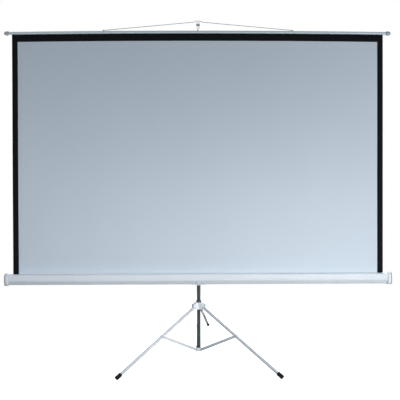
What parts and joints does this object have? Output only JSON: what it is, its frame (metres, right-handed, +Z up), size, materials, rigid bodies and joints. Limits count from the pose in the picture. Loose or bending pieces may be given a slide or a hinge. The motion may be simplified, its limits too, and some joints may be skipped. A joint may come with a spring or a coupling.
{
  "type": "tripod projection screen",
  "caption": "Free-standing projection screen: a black-edged sheet drawn up from a spring roller in a long case and hung on a telescoping mast with folding, braced tripod legs.",
  "frame": {"origin": "on the floor, under the middle of the whole object's footprint box", "axes": "+X along the case to the viewer's right, +Y away from the viewer who faces the picture, +Z up along the mast"},
  "size_m": [2.5026, 0.9122, 2.2644],
  "materials": {
    "white_paint": "satin",
    "leg_paint": "satin",
    "white_plastic": "satin",
    "dark_tube": "satin",
    "bright_tube": "satin",
    "slat_metal": "satin",
    "steel": "satin",
    "black_plastic": "satin",
    "black_rubber": "matte",
    "screen_white": "matte",
    "mask_black": "matte"
  },
  "bodies": {
    "tripod_post": {"post_tube": "dark_tube", "post_bush": "white_plastic", "lower_hub": "white_plastic", "lower_rivet_left": "steel", "lower_rivet_right": "steel", "lower_rivet_rear": "steel"},
    "leg_hub": {"leg_hub": "white_plastic", "hub_rivet_left": "steel", "hub_rivet_right": "steel", "hub_rivet_rear": "steel", "lever_pin": "steel", "lock_ring": "dark_tube"},
    "leg_left": {"leg_left": "leg_paint", "foot_left": "black_rubber"},
    "leg_right": {"leg_right": "leg_paint", "foot_right": "black_rubber"},
    "leg_rear": {"leg_rear": "leg_paint", "foot_rear": "black_rubber"},
    "brace_left": {"brace_left": "leg_paint", "brace_rivet_left": "steel"},
    "brace_right": {"brace_right": "leg_paint", "brace_rivet_right": "steel"},
    "brace_rear": {"brace_rear": "leg_paint", "brace_rivet_rear": "steel"},
    "lock_lever": {"lock_lever": "dark_tube", "lever_grip": "black_rubber"},
    "case": {"sleeve_tube": "dark_tube", "mast_collar": "white_plastic", "rod_collar": "white_plastic", "case_carrier": "white_plastic", "case_saddle": "white_paint", "saddle_rivet_left": "steel", "saddle_rivet_right": "steel", "case_shell": "white_paint", "end_cap_left": "white_plastic", "end_cap_right": "white_plastic", "spring_axle": "steel", "roller_spring": "steel", "screen_fabric": "screen_white", "black_border": "mask_black"},
    "mast_knob": {"mast_knob": "black_plastic"},
    "rod_knob": {"rod_knob": "black_plastic"},
    "roller": {"roller_tube": "steel", "fabric_roll": "screen_white", "roller_bush": "white_plastic", "roller_pin_plug": "steel"},
    "top_rod": {"top_rod": "bright_tube", "top_hook": "bright_tube", "hook_plate": "steel", "top_slat": "slat_metal", "slat_finial_left": "slat_metal", "slat_finial_right": "slat_metal", "hanger_wire": "steel", "wire_clip_left": "steel", "wire_clip_right": "steel"}
  },
  "joints": [
    {"name": "leg_fold", "type": "slide", "parent": "tripod_post", "child": "leg_hub", "axis": [0, 0, 1], "range_m": [0, 0.08]},
    {"name": "leg_left_swing", "type": "hinge", "parent": "leg_hub", "child": "leg_left", "pos_m": [-0.03118, -0.16441, 0.40111], "axis": [0.5, -0.866, 0], "range_deg": [0, 8.3]},
    {"name": "leg_right_swing", "type": "hinge", "parent": "leg_hub", "child": "leg_right", "pos_m": [0.03118, -0.16441, 0.40111], "axis": [0.5, 0.866, 0], "range_deg": [0, 8.3]},
    {"name": "leg_rear_swing", "type": "hinge", "parent": "leg_hub", "child": "leg_rear", "pos_m": [0, -0.11041, 0.40111], "axis": [-1, 0, 0], "range_deg": [0, 8.3]},
    {"name": "brace_left_swing", "type": "hinge", "parent": "tripod_post", "child": "brace_left", "pos_m": [-0.02079, -0.15841, 0.12811], "axis": [-0.5, 0.866, 0], "range_deg": [0, 11.6]},
    {"name": "brace_right_swing", "type": "hinge", "parent": "tripod_post", "child": "brace_right", "pos_m": [0.02079, -0.15841, 0.12811], "axis": [-0.5, -0.866, 0], "range_deg": [0, 11.6]},
    {"name": "brace_rear_swing", "type": "hinge", "parent": "tripod_post", "child": "brace_rear", "pos_m": [0, -0.12241, 0.12811], "axis": [1, 0, 0], "range_deg": [0, 11.6]},
    {"name": "lever_squeeze", "type": "hinge", "parent": "leg_hub", "child": "lock_lever", "pos_m": [0.02944, -0.12941, 0.35811], "axis": [-0.5, 0.866, 0], "range_deg": [0, 16], "stiffness_Nm_per_rad": 0.6, "springref_deg": -5.73},
    {"name": "mast_height", "type": "slide", "parent": "tripod_post", "child": "case", "axis": [0, 0, 1], "range_m": [0, 0.25]},
    {"name": "screen_height", "type": "slide", "parent": "case", "child": "top_rod", "axis": [0, 0, 1], "range_m": [-0.72, 0], "deforming": ["screen_fabric", "black_border"]},
    {"name": "roller_spin", "type": "hinge", "parent": "case", "child": "roller", "pos_m": [0, -0.20101, 0.59341], "axis": [1, 0, 0], "range_deg": [-2600, 0]},
    {"name": "mast_knob_turn", "type": "hinge", "parent": "case", "child": "mast_knob", "pos_m": [0, -0.12, 0.55941], "axis": [0, 1, 0], "range_deg": [0, 360]},
    {"name": "rod_knob_turn", "type": "hinge", "parent": "case", "child": "rod_knob", "pos_m": [0, -0.12, 1.46601], "axis": [0, 1, 0], "range_deg": [0, 360]}
  ],
  "couplings": [
    {"joint": "leg_left_swing", "follows": "leg_fold", "rad_per_m": 1.8011},
    {"joint": "leg_right_swing", "follows": "leg_fold", "rad_per_m": 1.8011},
    {"joint": "leg_rear_swing", "follows": "leg_fold", "rad_per_m": 1.8011},
    {"joint": "brace_left_swing", "follows": "leg_fold", "rad_per_m": 2.5234},
    {"joint": "brace_right_swing", "follows": "leg_fold", "rad_per_m": 2.5234},
    {"joint": "brace_rear_swing", "follows": "leg_fold", "rad_per_m": 2.5234},
    {"joint": "roller_spin", "follows": "screen_height", "rad_per_m": 62.9}
  ]
}
